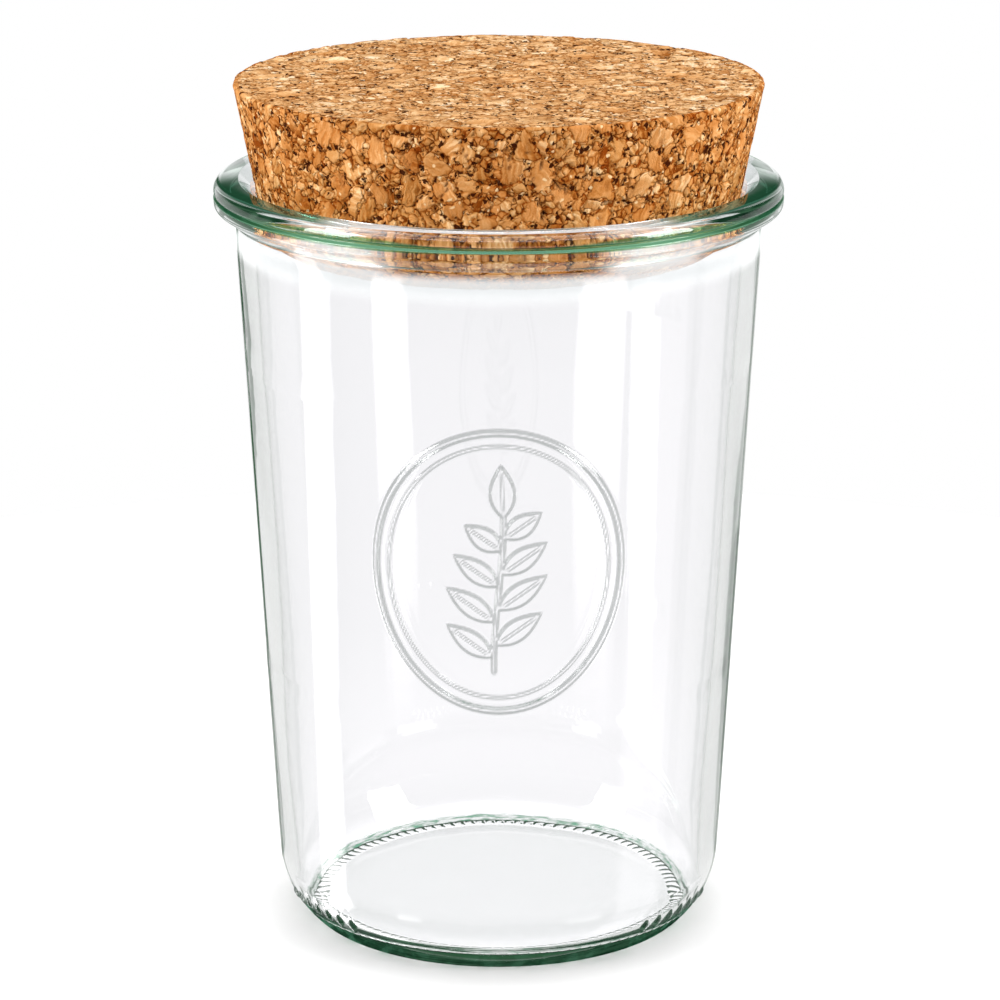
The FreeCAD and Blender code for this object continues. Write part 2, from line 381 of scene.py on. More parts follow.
class Profile:
    """Half section of a turned piece: radius, height and slope along its arc length, about one STEP apart."""

    STEP = 0.08
    SAME_PLACE = 1e-6

    def __init__(self, corners):
        line = rounded_line(corners, self.STEP)
        along = np.concatenate([[0.0], np.cumsum(np.linalg.norm(np.diff(line, axis=0), axis=1))])
        apart = np.concatenate([[True], np.diff(along) > self.SAME_PLACE])
        line, along = line[apart], along[apart]
        even = np.linspace(0.0, along[-1], int(along[-1] / self.STEP))
        self.s = np.union1d(along, even)
        self.r = np.interp(self.s, along, line[:, 0])
        self.z = np.interp(self.s, along, line[:, 1])
        slope = np.unwrap(np.arctan2(np.diff(self.z), np.diff(self.r)))
        middle = (self.s[1:] + self.s[:-1]) / 2
        self.slope = np.interp(self.s, middle, slope)

    def near(self, radius, height):
        """Arc length of the point nearest to a radius and height."""
        return self.s[np.argmin(np.hypot(self.r - radius, self.z - height))]

    def rows(self, start, end, run, turn=9.0):
        """Arc lengths from start to end, at most a run apart and a turn in degrees apart on the roundings."""
        bend = np.abs(np.gradient(self.slope, self.s))
        cost = 1.0 / run + bend / math.radians(turn)
        spent = np.concatenate([[0.0], np.cumsum((cost[1:] + cost[:-1]) / 2 * np.diff(self.s))])
        first, last = np.interp([start, end], self.s, spent)
        count = max(2, int(math.ceil(last - first)) + 1)
        return np.interp(np.linspace(first, last, count), spent, self.s)

    def at(self, s):
        """Radius, height and outward normal (radial, vertical) at arc lengths s."""
        slope = np.interp(s, self.s, self.slope)
        return (np.interp(s, self.s, self.r), np.interp(s, self.s, self.z),
                np.sin(slope), -np.cos(slope))


def even_angles(count):
    """Angles of so many equal columns round the axis, from 0 to a full turn."""
    return np.arange(count) * (FULL_TURN / count)


def dense_angles(sectors, fine, coarse):
    """Angles round the axis, a fine step apart inside each (from, to) sector and a coarse step elsewhere.

    Steps and sectors are in degrees, the angles in radians.
    """
    edges = sorted(edge % 360.0 for sector in sectors for edge in sector)
    marks = np.array([0.0, *edges, 360.0])
    inside = [any((middle - low) % 360.0 <= (high - low) for low, high in sectors)
              for middle in (marks[1:] + marks[:-1]) / 2]
    stretches = []
    for low, high, is_fine in zip(marks[:-1], marks[1:], inside):
        count = max(1, int(round((high - low) / (fine if is_fine else coarse))))
        stretches.append(np.linspace(low, high, count, endpoint=False))
    return np.radians(np.unique(np.concatenate(stretches)))


def joining_triangles(angles_a, ring_a, angles_b, ring_b):
    """Triangles between two rings of corners with different columns.

    Every edge of one ring reaches to the corner of the other ring that lies across from its middle.
    """
    half_a, half_b = (angles + np.diff(angles, append=angles[0] + FULL_TURN) / 2
                      for angles in (angles_a, angles_b))
    reach_b = np.searchsorted(half_b, half_a) % len(ring_b)
    reach_a = np.searchsorted(half_a, half_b) % len(ring_a)
    return [np.stack([ring_a, np.roll(ring_a, -1), ring_b[reach_b]], axis=-1),
            np.stack([ring_a[reach_a], np.roll(ring_b, -1), ring_b], axis=-1)]


def in_scene(name, data):
    """New object in the scene."""
    made = bpy.data.objects.new(name, data)
    bpy.context.scene.collection.objects.link(made)
    return made


def turned_mesh(name, bands, surface):
    """Closed mesh of a turned surface: surface(angle, s) sampled on bands of (angles, rows).

    Each band is a grid of quads, joined to the band before it. Beyond the ends of its arc length the surface
    stays at its poles, where the first and the last ring are closed.
    """
    beyond = 1e3
    places, quads, triangles, rings = [], [], [], []
    total = 0
    for angles, rows in bands:
        grid = np.stack(surface(*np.meshgrid(angles, rows)), axis=-1)
        places.append(grid.reshape(-1, 3))
        index = total + np.arange(grid.shape[0] * grid.shape[1]).reshape(grid.shape[:2])
        total += index.size
        ahead = np.roll(index, -1, axis=1)
        quads.append(np.stack([index[:-1], ahead[:-1], ahead[1:], index[1:]], axis=-1).reshape(-1, 4))
        if rings:
            triangles += joining_triangles(*rings[-1], angles, index[0])
        rings += [(angles, index[0]), (angles, index[-1])]
    for s, (_, ring), order in ((-beyond, rings[0], (2, 1, 0)), (beyond, rings[-1], (0, 1, 2))):
        places.append(np.array(surface(np.zeros(1), np.array([s]))).T)
        corners = [ring, np.roll(ring, -1), np.full(len(ring), total)]
        triangles.append(np.stack([corners[i] for i in order], axis=-1))
        total += 1
    mesh = bpy.data.meshes.new(name)
    faces = np.concatenate(quads).tolist() + np.concatenate(triangles).tolist()
    mesh.from_pydata((np.concatenate(places) * MM).tolist(), [], faces)
    mesh.update()
    mesh.polygons.foreach_set("use_smooth", np.ones(len(mesh.polygons), bool))
    return in_scene(name, mesh)


def keep_values(piece, name, values):
    """Keep a list of arrays as one value per corner of a piece, for its material."""
    attribute = piece.data.attributes.new(name, "FLOAT", "POINT")
    attribute.data.foreach_set("value", np.concatenate(values).astype(np.float32))


def spun(radius, height, angle):
    """Point at a radius and height, turned by an angle from the front (-Y) towards +X."""
    return radius * np.sin(angle), -radius * np.cos(angle), height


def from_front(angle):
    """Angle brought to lie within half a turn of the front."""
    return (angle + math.pi) % FULL_TURN - math.pi


def wall_inside(height):
    """Inside radius of the leaning wall at a height."""
    return WALL_INSIDE_TOP - (WALL_TOP - height) * WALL_LEAN


def wall_outside(height):
    """Outside radius of the leaning wall at a height."""
    return wall_inside(height) + WALL


def jar_profile():
    """Half section of the jar, from the underside up the outside, over the rim and down to the floor."""
    land_top = JAR_TOP - BEVEL_DEPTH
    groove = JAR_TOP - GROOVE_DROP
    return Profile([
        (0, PUSH_UP, 0),
        (PUSH_UP_RADIUS, PUSH_UP, PUSH_UP_ROUNDING),
        (BEARING_INSIDE, 0, BEARING_ROUNDING),
        (FOOT_RADIUS, 0, FOOT_ROUNDING),
        (wall_outside(HEEL_HEIGHT), HEEL_HEIGHT, HEEL_ROUNDING),
        (wall_outside(NECK_HEIGHT), NECK_HEIGHT, NECK_ROUNDING),
        (RIM_RADIUS, JAR_TOP - BEAD_HEIGHT, BEAD_LOWER_ROUNDING),
        (RIM_RADIUS, groove - GROOVE_BELOW, GROOVE_LOWER_ROUNDING),
        (RIM_RADIUS - GROOVE_CUT, groove, GROOVE_ROUNDING),
        (RIM_RADIUS, groove + GROOVE_ABOVE, GROOVE_UPPER_ROUNDING),
        (RIM_RADIUS, JAR_TOP - BEAD_FALL, BEAD_ROUNDING),
        (MOUTH_RADIUS + BEVEL_WIDTH, JAR_TOP, LIP_ROUNDING),
        (MOUTH_RADIUS, land_top, MOUTH_ROUNDING),
        (MOUTH_RADIUS, land_top - MOUTH_LAND, MOUTH_ROUNDING),
        (WALL_INSIDE_TOP, WALL_TOP, WALL_TOP_ROUNDING),
        (INNER_HEEL_RADIUS, INNER_HEEL_HEIGHT, INNER_HEEL_ROUNDING),
        (FLOOR_EDGE_RADIUS, FLOOR_TOP, FLOOR_EDGE_ROUNDING),
        (0, FLOOR_TOP, 0),
    ])


def leaf(across, up, base, lean, length, half_width):
    """Raised leaf: flat with a sloped border, as wide as a sine hump along its length, with a sunk midrib."""
    sine, cosine = math.sin(lean), math.cos(lean)
    along = ((across - base[0]) * sine + (up - base[1]) * cosine) / length
    aside = (across - base[0]) * cosine - (up - base[1]) * sine
    width = half_width * np.sin(math.pi * np.clip(along, 0.0, 1.0) ** LEAF_SKEW) ** LEAF_FULLNESS
    raised = smooth(0.0, LEAF_BORDER, width - np.abs(aside))
    midrib = bead(aside, LEAF_RIB_HALF_WIDTH, LEAF_RIB_DEPTH)
    midrib = midrib * smooth(*LEAF_RIB_FOOT, along) * smooth(*LEAF_RIB_TIP, along)
    return MEDALLION_RELIEF * np.clip(raised - midrib, 0.0, 1.0)


def medallion(across, up):
    """Raised mark on the front: an oval ring and a finer one round an upright sprig of leaf pairs."""
    def oval(inset):
        half_width = MEDALLION_HALF_WIDTH - inset
        half_height = MEDALLION_HALF_HEIGHT - inset
        level = np.hypot(across / half_width, up / half_height)
        steep = np.hypot(across / half_width ** 2, up / half_height ** 2)
        return level * (level - 1.0) / np.maximum(steep, 1e-6)

    def sway(height):
        return STEM_SWAY * np.sin((height + STEM_WAVE_START) / STEM_WAVE)

    stem = bead(across - sway(up), STEM_HALF_WIDTH, STEM_RELIEF)
    forms = [
        bead(oval(RING_HALF_WIDTH), RING_HALF_WIDTH, MEDALLION_RELIEF),
        bead(oval(INNER_RING_INSET), INNER_RING_HALF_WIDTH, INNER_RING_RELIEF),
        stem * smooth(*STEM_FOOT, up) * smooth(*STEM_TIP, up),
        leaf(across, up, **TOP_LEAF),
    ]
    for height, length in LEAF_PAIRS:
        for side in (-1, 1):
            base = (sway(height), height + LEAF_STAGGER * side)
            forms.append(leaf(across, up, base, side * LEAF_LEAN, length, LEAF_HALF_WIDTH))
    return np.maximum.reduce(forms)


def steepness(relief, across, up, step=0.12):
    """Slope of a relief, from its change over a short step to either side."""
    sideways = relief(across + step, up) - relief(across - step, up)
    upwards = relief(across, up + step) - relief(across, up - step)
    return np.hypot(sideways, upwards) / (2.0 * step)


def knurling(angle, radius):
    """Depth of the bearing ring between its ribs: ribs bent like crescents keep the full height."""
    reach = (radius - KNURL_RADIUS) / KNURL_HALF_LENGTH
    turn = angle * KNURLS / FULL_TURN + KNURL_BEND * reach ** 2
    aside = ((turn % 1.0) - 0.5) * FULL_TURN * KNURL_RADIUS / KNURLS
    rib = bead(aside, KNURL_HALF_WIDTH, 1.0)
    sunk = smooth(1.0, KNURL_FLAT, np.abs(reach))
    return KNURL_DEPTH * sunk * (1.0 - rib)


def heel_marks(angle, offset, radius):
    """Row of raised lozenges low on either side, offset being the arc length from their middle line."""
    degrees = np.abs(np.degrees(from_front(angle)))
    low, high = HEEL_MARK_SECTOR
    count = int((high - low) / HEEL_MARK_PITCH)
    turn = (degrees - low) / HEEL_MARK_PITCH
    aside = ((turn % 1.0) - 0.5) * math.radians(HEEL_MARK_PITCH) * radius
    reach = np.abs(aside) / HEEL_MARK_HALF_WIDTH + np.abs(offset) / HEEL_MARK_HALF_HEIGHT
    within = (degrees > low) & (degrees < low + HEEL_MARK_PITCH * count)
    return HEEL_MARK_RELIEF * smooth(1.0, HEEL_MARK_FLAT, reach) * within


def ripple(angle, height):
    """Uneven inside of the pressed wall: slow waves round and up the jar, a tenth of a millimetre high."""
    waves = sum(high * np.cos(number * angle + phase + height / slant)
                for high, number, phase, slant in RIPPLES)
    return waves * smooth(*RIPPLE_START, height) * smooth(*RIPPLE_END, height)


def jar_bands(profile):
    """Columns and rows of the jar's mesh, fine where its marks are, from the underside to the floor."""
    knurl_start = profile.near(BEARING_INSIDE - 0.9, 0.2)
    knurl_end = profile.near(FOOT_RADIUS - 0.6, 0.0)
    heel_end = profile.near(wall_outside(HEEL_MARKS_END), HEEL_MARKS_END)
    reach = MEDALLION_HALF_HEIGHT + MEDALLION_MARGIN
    mark_start, mark_end = (profile.near(wall_outside(height), height)
                            for height in (MEDALLION_HEIGHT - reach, MEDALLION_HEIGHT + reach))
    mark_sector = math.degrees((MEDALLION_HALF_WIDTH + MEDALLION_MARGIN) / wall_outside(MEDALLION_HEIGHT))
    low, high = HEEL_MARK_SECTOR
    plain_columns = even_angles(216)
    heel_columns = dense_angles([(low, high), (-high, -low)], 0.6, 3.0)
    mark_columns = dense_angles([(-mark_sector, mark_sector)], 0.4, 4.0)
    gap = 0.3
    pole_gap = 2.0
    return [
        (even_angles(96), profile.rows(pole_gap, knurl_start - gap, 2.5)),
        (even_angles(KNURLS * 7), profile.rows(knurl_start, knurl_end, 0.38)),
        (heel_columns, profile.rows(knurl_end + gap, heel_end, 0.42)),
        (plain_columns, profile.rows(heel_end + gap, mark_start - gap, 5.0)),
        (mark_columns, profile.rows(mark_start, mark_end, 0.33)),
        (plain_columns, profile.rows(mark_end + gap, profile.s[-1] - pole_gap, 5.0)),
    ]


def make_jar():
    """The glass jar as one closed turned surface, with its marks and ripples along the profile's normal."""
    profile = jar_profile()
    crest = profile.near(MOUTH_RADIUS + BEVEL_WIDTH, JAR_TOP)
    heel_line = profile.near(wall_outside(HEEL_MARK_HEIGHT) - HEEL_MARK_INSET, HEEL_MARK_HEIGHT)
    bearing = profile.near(FOOT_RADIUS, 0.2)
    edge_shades = []

    def surface(angle, s):
        radius, height, out, rise = profile.at(s)
        outside = s < crest
        wall = outside & (s > heel_line)
        mark_place = from_front(angle) * wall_outside(MEDALLION_HEIGHT), height - MEDALLION_HEIGHT
        # The medallion's slope, kept as the mask of the glass's painted shade on its steep sides
        edge_shades.append(np.where(wall, steepness(medallion, *mark_place), 0.0).ravel())
        lozenges = heel_marks(angle, s - heel_line, np.maximum(radius, 1.0))
        mould_ring = bead(radius - PUSH_UP_RADIUS, MOULD_RING_HALF_WIDTH, MOULD_RING_RELIEF)
        relief = np.where(wall, medallion(*mark_place), 0.0)
        relief = relief + np.where(outside, lozenges, ripple(angle, height))
        relief = relief + np.where(s < bearing, mould_ring - knurling(angle, radius), 0.0)
        return spun(radius + out * relief, height + rise * relief, angle)

    piece = turned_mesh("glass_jar_body", jar_bands(profile), surface)
    keep_values(piece, "edge_shade", edge_shades)
    return piece


def scatter(cubes, salt):
    """Even random numbers from 0 to 1 for whole-numbered cubes: the loose part of a stretched sine."""
    weights = np.array([[127.1, 311.7, 74.7], [269.5, 183.3, 246.1], [113.5, 271.9, 124.6]])
    stretch = 43758.5453
    return np.modf(np.abs(np.sin(cubes @ weights.T + salt) * stretch))[0]


def granules(points):
    """Distances to the nearest three seeds, one to a granule-sized cube, and the tone of the nearest."""
    grid = points / GRANULE_SIZE
    base = np.floor(grid)
    distances, tones = [], []
    for step in itertools.product((-1, 0, 1), repeat=3):
        cell = base + np.array(step)
        distances.append(np.linalg.norm(cell + scatter(cell, GRANULE_SALT) - grid, axis=1))
        tones.append(scatter(cell, GRANULE_SALT + GRANULE_TONE_SALT)[:, 0])
    distances, tones = np.array(distances), np.array(tones)
    nearest = np.argmin(distances, axis=0)
    first, second, third = np.sort(distances, axis=0)[:3]
    return first, second, third, tones[nearest, np.arange(len(nearest))]


def lid_profile():
    """Half section of the lid: bottom face, sloped lower edge, leaning side and top face."""
    return Profile([
        (0, LID_BOTTOM, 0),
        (LID_BOTTOM_RADIUS, LID_BOTTOM, LID_LOWER_EDGE),
        (LID_SIDE_BOTTOM_RADIUS, LID_SIDE_BOTTOM, LID_LOWER_EDGE),
        (LID_TOP_RADIUS, LID_TOP, LID_EDGE),
        (0, LID_TOP, 0),
    ])


def lid_bands(profile, bottom_edge):
    """Columns and rows of the lid's mesh, with fewer columns towards the middle of either face."""
    side_start = bottom_edge - 2.0
    end = profile.s[-1]
    return [
        (even_angles(80), profile.rows(2.0, 11.0, 1.0)),
        (even_angles(160), profile.rows(12.0, 22.0, 0.9)),
        (even_angles(320), profile.rows(23.0, side_start - 0.5, 0.8)),
        (even_angles(640), profile.rows(side_start, end - 26.0, 0.56, 22.0)),
        (even_angles(320), profile.rows(end - 25.5, end - 13.0, 0.5)),
        (even_angles(160), profile.rows(end - 12.5, end - 6.5, 0.5)),
        (even_angles(80), profile.rows(end - 6.0, end - 1.0, 0.5)),
    ]


def make_lid():
    """The cork lid as one closed turned surface, cut back into pits and seams where its granules meet."""
    profile = lid_profile()
    bottom_edge = profile.near(LID_BOTTOM_RADIUS, LID_BOTTOM)
    top_edge = profile.near(LID_TOP_RADIUS, LID_TOP)
    pits = []

    def surface(angle, s):
        radius, height, out, rise = profile.at(s)
        points = np.stack(spun(radius, height, angle), axis=-1)
        first, second, third, tone = (field.reshape(np.shape(s)) for field in granules(points.reshape(-1, 3)))
        seam = smooth(*SEAM_LEAD, second - first)
        junction = smooth(*PIT_LEAD, third - first) * smooth(*PIT_TONES, tone)
        edge = np.minimum(np.abs(s - top_edge), np.abs(s - bottom_edge))
        crumbled = smooth(*CRUMBLE_REACH, edge) * smooth(*CRUMBLE_TONES, tone)
        inward = smooth(0.0, EDGE_CALM, edge) * (1.0 - EDGE_RELIEF) + EDGE_RELIEF
        depth = inward * (GRANULE_DEPTH * tone + SEAM_DEPTH * seam + PIT_DEPTH * junction)
        depth = depth + CRUMBLE_DEPTH * crumbled - LID_LIFT
        pits.append(junction.ravel())
        return spun(radius - out * depth, height - rise * depth, angle)

    piece = turned_mesh("cork_lid_body", lid_bands(profile, bottom_edge), surface)
    keep_values(piece, "pit", pits)
    return piece


def add(tree, kind, inputs=(), **settings):
    """New shader node with settings of its own and inputs by name or number: sockets linked, values set."""
    made = tree.nodes.new("ShaderNode" + kind)
    for key, value in settings.items():
        setattr(made, key, value)
    for key, value in dict(inputs).items():
        if isinstance(value, bpy.types.NodeSocket):
            tree.links.new(value, made.inputs[key])
        else:
            made.inputs[key].default_value = value
    return made


def math_node(tree, operation, *values, clamp=False):
    """Output of a Math node on sockets or plain numbers."""
    return add(tree, "Math", enumerate(values), operation=operation, use_clamp=clamp).outputs[0]


def times(tree, first, second):
    """Product of two values."""
    return math_node(tree, "MULTIPLY", first, second)


def scaled(tree, value, factor, offset):
    """value * factor + offset."""
    return math_node(tree, "MULTIPLY_ADD", value, factor, offset)


def vector_node(tree, operation, *values):
    """Vector output of a Vector Math node; the second value of SCALE goes to its Scale."""
    inputs = {("Scale" if operation == "SCALE" and i else i): v for i, v in enumerate(values)}
    return add(tree, "VectorMath", inputs, operation=operation).outputs["Vector"]


def vector_value(tree, operation, *values):
    """Plain output of a Vector Math node."""
    return add(tree, "VectorMath", enumerate(values), operation=operation).outputs["Value"]


def blend_values(tree, share, low, high):
    """low + share (high - low) for plain values."""
    return add(tree, "Mix", {0: share, 2: low, 3: high}, data_type="FLOAT").outputs[0]


def blend_colours(tree, share, low, high, way="MIX"):
    """Mix of two colours by a share."""
    inputs = {0: share, 6: low, 7: high}
    return add(tree, "Mix", inputs, data_type="RGBA", blend_type=way).outputs[2]


def blend_shaders(tree, share, low, high):
    """Mix of two shader nodes by a share."""
    return add(tree, "MixShader", {0: share, 1: low.outputs[0], 2: high.outputs[0]})


def ease(tree, value, low, high, to_low=0.0, to_high=1.0):
    """Smoothstep of a value between two limits."""
    return add(tree, "MapRange", {0: value, 1: low, 2: high, 3: to_low, 4: to_high},
               interpolation_type="SMOOTHSTEP").outputs[0]


def window(tree, value, rising, falling):
    """Product of two eased steps of one value."""
    return times(tree, ease(tree, value, *rising), ease(tree, value, *falling))


def ramp(tree, share, stops):
    """Colour ramp through (position, colour) stops."""
    made = add(tree, "ValToRGB", {0: share})
    points = made.color_ramp.elements
    for _ in range(len(stops) - len(points)):
        points.new(0.5)
    for point, (place, colour) in zip(points, stops):
        point.position = place
        point.color = (*colour, 1.0)
    return made.outputs[0]


def noise(tree, place, scale, detail, output="Fac"):
    """Cloudy noise, as a value or a colour."""
    return add(tree, "TexNoise", {"Vector": place, "Scale": scale, "Detail": detail}).outputs[output]


def streaks(tree, place, scale, detail):
    """Cloudy noise with its own scale along each axis."""
    drawn = add(tree, "Mapping", {"Vector": place, "Scale": scale}).outputs[0]
    return noise(tree, drawn, 1.0, detail)


def wander(tree, place, scale, reach):
    """Place moved by a noise, at most half a reach along each axis."""
    centred = vector_node(tree, "SUBTRACT", noise(tree, place, scale, 2.0, "Color"), (0.5, 0.5, 0.5))
    return vector_node(tree, "ADD", place, vector_node(tree, "SCALE", centred, reach))


def cells(tree, place, scale, feature="F1"):
    """Outputs of a Voronoi texture."""
    return add(tree, "TexVoronoi", {"Vector": place, "Scale": scale}, feature=feature).outputs


def edge_distance(tree, place, scale):
    """Distance to the edge of a Voronoi cell, in the unit of the place."""
    return math_node(tree, "DIVIDE", cells(tree, place, scale, "DISTANCE_TO_EDGE")["Distance"], scale)


def channels(tree, colour):
    """The three channels of a colour."""
    return add(tree, "SeparateColor", {0: colour}).outputs


def new_group(name, vectors, values, results):
    """Empty shader node group with named vector and value inputs and value results, and its end sockets."""
    tree = bpy.data.node_groups.new(name, "ShaderNodeTree")
    sockets = (("INPUT", "Vector", vectors), ("INPUT", "Float", values), ("OUTPUT", "Float", results))
    for way, kind, labels in sockets:
        for label in labels:
            tree.interface.new_socket(label, in_out=way, socket_type="NodeSocket" + kind)
    return tree, tree.nodes.new("NodeGroupInput").outputs, tree.nodes.new("NodeGroupOutput").inputs


def granule_gaps(tree, given, bent, edge_way, fringed):
    """Seams between granules, here and there, and holes where grains fell out of the crumbs, whose dark is
    painted shade.
    """
    there = ease(tree, noise(tree, given["Place"], SEAM_SCALE, 2.0), *SEAM_LIMITS)
    width = math_node(tree, "DIVIDE", edge_way, given["Seam Width"])
    seam = math_node(tree, "SUBTRACT", 1.0, ease(tree, width, *SEAM_EDGE))
    seam = times(tree, seam, scaled(tree, there, *SEAM_STRENGTH))
    grains = cells(tree, wander(tree, bent, *GRAIN_WANDER), GRAIN_SCALE)
    missing = math_node(tree, "LESS_THAN", channels(tree, grains["Color"])[0], given["Hole Share"])
    # Holes are painted dark as their shade
    hole = times(tree, times(tree, missing, fringed), ease(tree, grains["Distance"], *HOLE_EDGE))
    return seam, hole


def granule_specks(tree, bent):
    """Small round pale specks in some cells of a wide grid."""
    dots = cells(tree, bent, SPECK_SCALE)
    chosen = math_node(tree, "GREATER_THAN", channels(tree, dots["Color"])[0], SPECK_RARITY)
    return times(tree, ease(tree, dots["Distance"], *SPECK_EDGE), chosen)


def granule_group():
    """Pressed cork granules: torn chips bedded in crumbs, with fine lines, thin seams, holes and pale specks.

    Crumbs fill the broken chips and the fringe along the edges of the others. Place and Height are in
    millimetres.
    """
    tree, given, result = new_group(
        "cork_granules", ["Place"], ["Chip Size", "Crumb Share", "Fringe", "Seam Width", "Hole Share"],
        ["Tone", "Warmth", "Gap", "Speck", "Height"])
    place = bent = given["Place"]
    for scale, reach in CHIP_WANDER:
        bent = wander(tree, bent, scale, reach)
    chip_scale = math_node(tree, "DIVIDE", 1.0, given["Chip Size"])
    crumb_scale = times(tree, chip_scale, CRUMB_RATIO)
    chips, crumbs = cells(tree, bent, chip_scale), cells(tree, bent, crumb_scale)
    chip_hue, crumb_hue = channels(tree, chips["Color"]), channels(tree, crumbs["Color"])

    there = ease(tree, noise(tree, place, FRINGE_SCALE, 2.0), *FRINGE_LIMITS)
    frayed = times(tree, given["Fringe"], there)
    inward = math_node(tree, "SUBTRACT", edge_distance(tree, bent, chip_scale), frayed)
    fringed = math_node(tree, "LESS_THAN", inward, 0.0)
    crushed = math_node(tree, "LESS_THAN", chip_hue[2], given["Crumb Share"])
    broken = math_node(tree, "MAXIMUM", crushed, fringed)
    chip_tone, crumb_tone = scaled(tree, chip_hue[0], *CHIP_TONE), scaled(tree, crumb_hue[0], *CRUMB_TONE)
    tone = blend_values(tree, broken, chip_tone, crumb_tone)
    warmth = blend_values(tree, broken, chip_hue[1], crumb_hue[1])
    edge_way = blend_values(tree, broken, inward, edge_distance(tree, bent, crumb_scale))

    hue = blend_colours(tree, broken, chips["Color"], crumbs["Color"])
    spin = vector_node(tree, "SCALE", hue, GRANULE_SPIN)
    turned = add(tree, "VectorRotate", {"Vector": bent, "Rotation": spin}, rotation_type="EULER_XYZ")
    lines = ease(tree, streaks(tree, turned.outputs[0], LINE_SCALE, 3.0), *LINE_LIMITS)
    places = {0: broken, 4: chips["Position"], 5: crumbs["Position"]}
    middle = add(tree, "Mix", places, data_type="VECTOR").outputs[1]
    lean = vector_node(tree, "SUBTRACT", vector_node(tree, "SCALE", hue, 2.0), (1.0, 1.0, 1.0))
    tilt = vector_value(tree, "DOT_PRODUCT", vector_node(tree, "SUBTRACT", bent, middle), lean)
    grit = noise(tree, place, GRIT_SCALE, 3.0)
    seam, hole = granule_gaps(tree, given, bent, edge_way, fringed)

    shown = scaled(tree, math_node(tree, "SUBTRACT", lines, 0.5), TONE_BY["lines"], tone)
    # Painted shade: each granule lighter on the side it leans
    shown = scaled(tree, tilt, TONE_BY["tilt"], shown)
    # Painted shade: darker towards each granule's edge
    shown = math_node(tree, "ADD", shown, ease(tree, edge_way, *EDGE_SHADE_TONE))
    shown = scaled(tree, math_node(tree, "SUBTRACT", grit, 0.5), TONE_BY["grit"], shown)
    height = times(tree, ease(tree, edge_way, *EDGE_HEIGHT), HEIGHT_BY["edge"])
    for label, value in (("tone", tone), ("tilt", tilt), ("lines", lines), ("grit", grit), ("hole", hole)):
        height = scaled(tree, value, HEIGHT_BY[label], height)
    results = {"Tone": shown, "Warmth": warmth, "Gap": math_node(tree, "MAXIMUM", seam, hole),
               "Speck": granule_specks(tree, bent), "Height": height}
    for label, value in results.items():
        tree.links.new(value, result[label])
    return tree


def place_in_mm(tree):
    """Object coordinates in millimetres."""
    coordinates = add(tree, "TexCoord").outputs["Object"]
    return vector_node(tree, "SCALE", coordinates, 1.0 / MM)


def new_material(name):
    """Empty node material and its tree and output node."""
    material = bpy.data.materials.new(name)
    material.use_nodes = True
    material.node_tree.nodes.clear()
    return material, material.node_tree, add(material.node_tree, "OutputMaterial")


def cork_material(name, group, values, stops, warm, cool):
    """Agglomerated cork with its own chip values and colours."""
    material, tree, output = new_material(name)
    chips = add(tree, "Group", node_tree=group)
    tree.links.new(place_in_mm(tree), chips.inputs["Place"])
    for label, value in values.items():
        chips.inputs[label].default_value = value
    pit = add(tree, "Attribute", attribute_name="pit").outputs["Fac"]
    colour = ramp(tree, chips.outputs["Tone"], stops)
    tint = blend_colours(tree, chips.outputs["Warmth"], cool, warm)
    colour = blend_colours(tree, 1.0, colour, tint, "MULTIPLY")
    colour = blend_colours(tree, times(tree, chips.outputs["Speck"], SPECK_SHARE), colour, SPECK_COLOUR)
    # Painted shade in holes and pits, with the seams' dark joints
    dark = math_node(tree, "MAXIMUM", chips.outputs["Gap"], ease(tree, pit, *PIT_DARK))
    colour = blend_colours(tree, times(tree, dark, GAP_SHARE), colour, GAP_AND_SHADE_COLOUR)
    rough = blend_values(tree, chips.outputs["Tone"], *CORK_ROUGHNESS)
    bump = add(tree, "Bump", {"Strength": 1.0, "Distance": MM, "Height": chips.outputs["Height"]})
    shader = add(tree, "BsdfPrincipled", {
        "Base Color": colour, "Roughness": rough, "Specular IOR Level": CORK_SHINE,
        "Normal": bump.outputs[0]})
    tree.links.new(shader.outputs[0], output.inputs["Surface"])
    return material


def rim_drop(tree, place):
    """Distance below the top of the rim."""
    height = add(tree, "SeparateXYZ", {0: place}).outputs[2]
    return math_node(tree, "SUBTRACT", JAR_TOP, height)


def off_axis(tree, place):
    """Distance from the jar's axis."""
    return vector_value(tree, "LENGTH", vector_node(tree, "MULTIPLY", place, (1.0, 1.0, 0.0)))


def azimuth(tree, place):
    """Angle from the front (-Y), to the right positive, in radians."""
    x, y, _ = add(tree, "SeparateXYZ", {0: place}).outputs
    return math_node(tree, "ARCTAN2", x, times(tree, y, -1.0))


def rim_wave(tree, place, number):
    """Wave that rises from 0 at the front to 1 and back so many times round the rim."""
    return scaled(tree, math_node(tree, "COSINE", times(tree, azimuth(tree, place), number)), -0.5, 0.5)


def rim_shadow(tree, place):
    """Mask of the rim's top and lead-in with painted dark green shade and a faint painted glow, in a few
    stretches.
    """
    radius = off_axis(tree, place)
    across = window(tree, radius, RIM_INNER, RIM_OUTER)
    upper = times(tree, across, ease(tree, rim_drop(tree, place), *RIM_DROP))
    return times(tree, upper, ease(tree, rim_wave(tree, place, RIM_SWELLS), *RIM_SWELL))


def groove_shade_band(tree, place, swell):
    """Mask of the band along the bead's groove with painted dark green shade and glow, wider where it swells.
    """
    drop = rim_drop(tree, place)
    below_top = scaled(tree, swell, BAND_UPPER_SWELL, drop)
    above_end = scaled(tree, swell, -BAND_LOWER_SWELL, drop)
    band = times(tree, ease(tree, below_top, *BAND_UPPER), ease(tree, above_end, *BAND_LOWER))
    return times(tree, band, math_node(tree, "GREATER_THAN", off_axis(tree, place), RIM_RADIUS - BAND_REACH))


